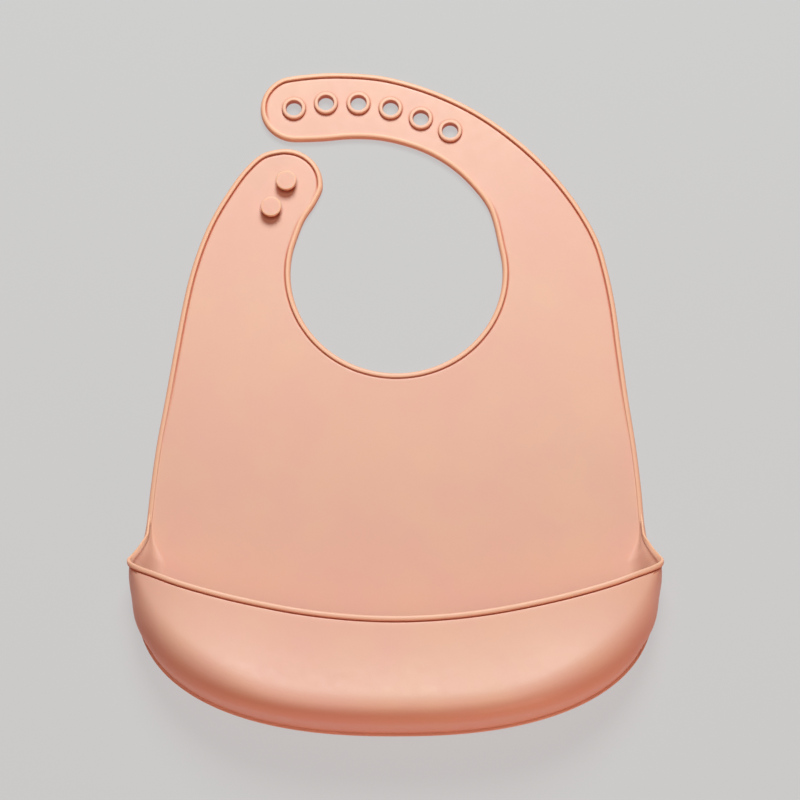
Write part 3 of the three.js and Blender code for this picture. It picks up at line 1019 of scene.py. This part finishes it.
def make_light(name, place, size, power, colour):
    data = bpy.data.lights.new(name, "AREA")
    data.shape = "DISK"
    data.size = size
    data.energy = power
    data.color = colour
    light = bpy.data.objects.new(name, data)
    light.location = place
    light.rotation_euler = (-Vector(place)).to_track_quat("-Z", "Y").to_euler()
    bpy.context.scene.collection.objects.link(light)


# Metres and watts: a wide cool key from beyond the neck, a warm fill from nearly overhead, and a low
# warm light that reaches only the pocket's rounded front.
LIGHTS = {
    "key": {"place": (0.05, 1.05, 1.10), "size": 0.72, "power": 25.2, "colour": (0.87, 1, 1)},
    "fill": {"place": (-0.04, -0.28, 1.34), "size": 1.0, "power": 5.7, "colour": (1, 0.60, 0.47)},
    "front": {"place": (0.45, -1.23, 0.25), "size": 0.45, "power": 5.0, "colour": (1, 0.54, 0.40)},
}
FLOOR_HALF = 30.0
SKY = (0.08, 0.05, 0.04, 1)
TABLE_GLOW = (0.78, 0.25, 0.15, 1)
HORIZON = 0.06


def make_world():
    """A dim warm sky, and the warm light that a pale table throws back up."""
    world = bpy.data.worlds.new("studio")
    world.use_nodes = True
    tree = world.node_tree
    coordinates = add_node(tree, "ShaderNodeTexCoord")
    axes = add_node(tree, "ShaderNodeSeparateXYZ")
    tree.links.new(coordinates.outputs["Generated"], axes.inputs[0])
    upward = ramp(tree, axes.outputs["Z"], low=-HORIZON, high=HORIZON)
    sky = mix_colours(tree, upward, TABLE_GLOW, SKY)
    tree.links.new(sky, tree.nodes["Background"].inputs["Color"])
    bpy.context.scene.world = world


def make_floor():
    mesh = bpy.data.meshes.new("floor")
    half = FLOOR_HALF
    corners = [(-half, -half, 0), (half, -half, 0), (half, half, 0), (-half, half, 0)]
    mesh.from_pydata(corners, [], [(0, 1, 2, 3)])
    floor = put_object("floor", mesh)
    mesh.materials.append(floor_paint())
    floor.visible_diffuse = False
    floor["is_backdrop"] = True


def make_studio():
    for name, light in LIGHTS.items():
        make_light(name, **light)
    make_world()
    make_floor()
    bpy.context.scene.view_settings.view_transform = "Standard"


# ---------------------------------------------------------------- assembly

def add_sheet():
    sheet = make_sheet()
    keep_normals(sheet)
    pieces = []
    for name, piece in cut_sheet(sheet).items():
        low, high, (x, y), (tx, ty), start, end = BENDS[name]
        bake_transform(piece)
        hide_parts(*STANDS_FOR[name])
        pieces.append(piece)
    return pieces


def add_pocket():
    pocket = make_pocket()
    keep_normals(pocket)
    pieces = []
    for name, piece in cut_pocket(pocket).items():
        side = {"pocket_left_skin": -1, "pocket_right_skin": 1}.get(name)
        ends = [(side * x, 0, 0) for x in GIVE_X] if side else [(0, y, 0) for y in GIVE_Y]
        Vector(ends[0]) * MM
        Vector(ends[1]) * MM
        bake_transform(piece)
        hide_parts(*POCKET_PIECES[name])
        pieces.append(piece)
    return pieces


def make_bib():
    pieces = [*add_sheet(), *add_pocket()]
    studs = [make_stud(name, place) for name, place in STUDS.items()]
    sheet_material = silicone("silicone_sheet", 0.0)
    stud_material = silicone("silicone_stud", STUD_GLOW)
    for group, material in ((pieces, sheet_material), (studs, stud_material)):
        for piece in group:
            piece.data.materials.append(material)


def main():
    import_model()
    cad_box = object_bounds()
    make_bib()
    make_studio()
    make_camera()
    boxes = {"cad": cad_box, "visual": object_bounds()}
    {name: [list(corner) for corner in box] for name, box in boxes.items()}


main()
